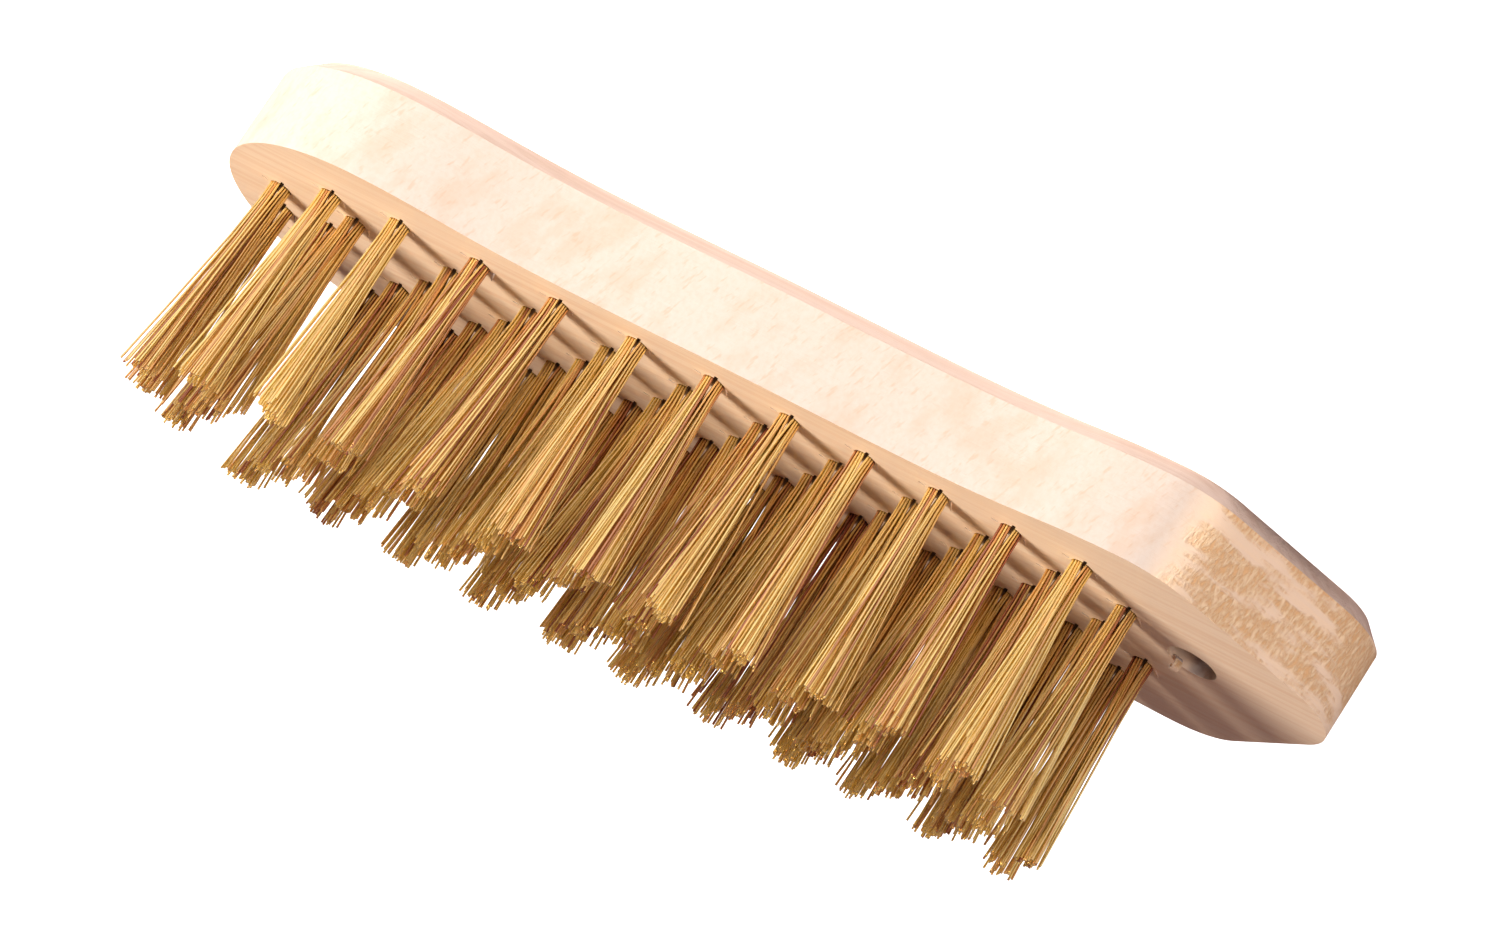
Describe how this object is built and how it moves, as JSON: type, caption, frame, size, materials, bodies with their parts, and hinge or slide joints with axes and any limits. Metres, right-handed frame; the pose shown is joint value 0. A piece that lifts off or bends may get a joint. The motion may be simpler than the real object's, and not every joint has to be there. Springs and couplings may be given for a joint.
{
  "type": "hand wire brush",
  "caption": "Waisted beech block, rounded at one end and drawn in to a blunt nose with a hanging hole, filled with staple-set tufts of straight brass wire.",
  "frame": {"origin": "middle of the object's box, on the plane of the flat back that the brush lies on", "axes": "+Z from the back towards the bristle tips, +X along the block from the nose to the round end, +Y across it"},
  "size_m": [0.2, 0.0604, 0.0552],
  "materials": {
    "beech_wood": "planed, unvarnished",
    "brass_wire": "bright drawn",
    "staple_steel": "plain wire"
  },
  "bodies": {
    "root": {"anchor_staples": "staple_steel", "block": "beech_wood", "tuft_a01": "brass_wire", "tuft_a02": "brass_wire", "tuft_a03": "brass_wire", "tuft_a04": "brass_wire", "tuft_a05": "brass_wire", "tuft_a06": "brass_wire", "tuft_a07": "brass_wire", "tuft_a08": "brass_wire", "tuft_a09": "brass_wire", "tuft_a10": "brass_wire", "tuft_a11": "brass_wire", "tuft_b01": "brass_wire", "tuft_b02": "brass_wire", "tuft_b03": "brass_wire", "tuft_b04": "brass_wire", "tuft_b05": "brass_wire", "tuft_b06": "brass_wire", "tuft_b07": "brass_wire", "tuft_b08": "brass_wire", "tuft_b09": "brass_wire", "tuft_b10": "brass_wire", "tuft_b11": "brass_wire", "tuft_c01": "brass_wire", "tuft_c02": "brass_wire", "tuft_c03": "brass_wire", "tuft_c04": "brass_wire", "tuft_c05": "brass_wire", "tuft_c06": "brass_wire", "tuft_c07": "brass_wire", "tuft_c08": "brass_wire", "tuft_c09": "brass_wire", "tuft_c10": "brass_wire", "tuft_c11": "brass_wire", "tuft_d01": "brass_wire", "tuft_d02": "brass_wire", "tuft_d03": "brass_wire", "tuft_d04": "brass_wire", "tuft_d05": "brass_wire", "tuft_d06": "brass_wire", "tuft_d07": "brass_wire", "tuft_d08": "brass_wire", "tuft_d09": "brass_wire", "tuft_d10": "brass_wire", "tuft_d11": "brass_wire", "tuft_e01": "brass_wire", "tuft_e02": "brass_wire", "tuft_e03": "brass_wire", "tuft_e04": "brass_wire", "tuft_e05": "brass_wire", "tuft_e06": "brass_wire", "tuft_e07": "brass_wire", "tuft_e08": "brass_wire", "tuft_e09": "brass_wire", "tuft_e10": "brass_wire", "tuft_e11": "brass_wire", "tuft_end_far": "brass_wire", "tuft_end_middle": "brass_wire", "tuft_end_near": "brass_wire"}
  },
  "joints": []
}
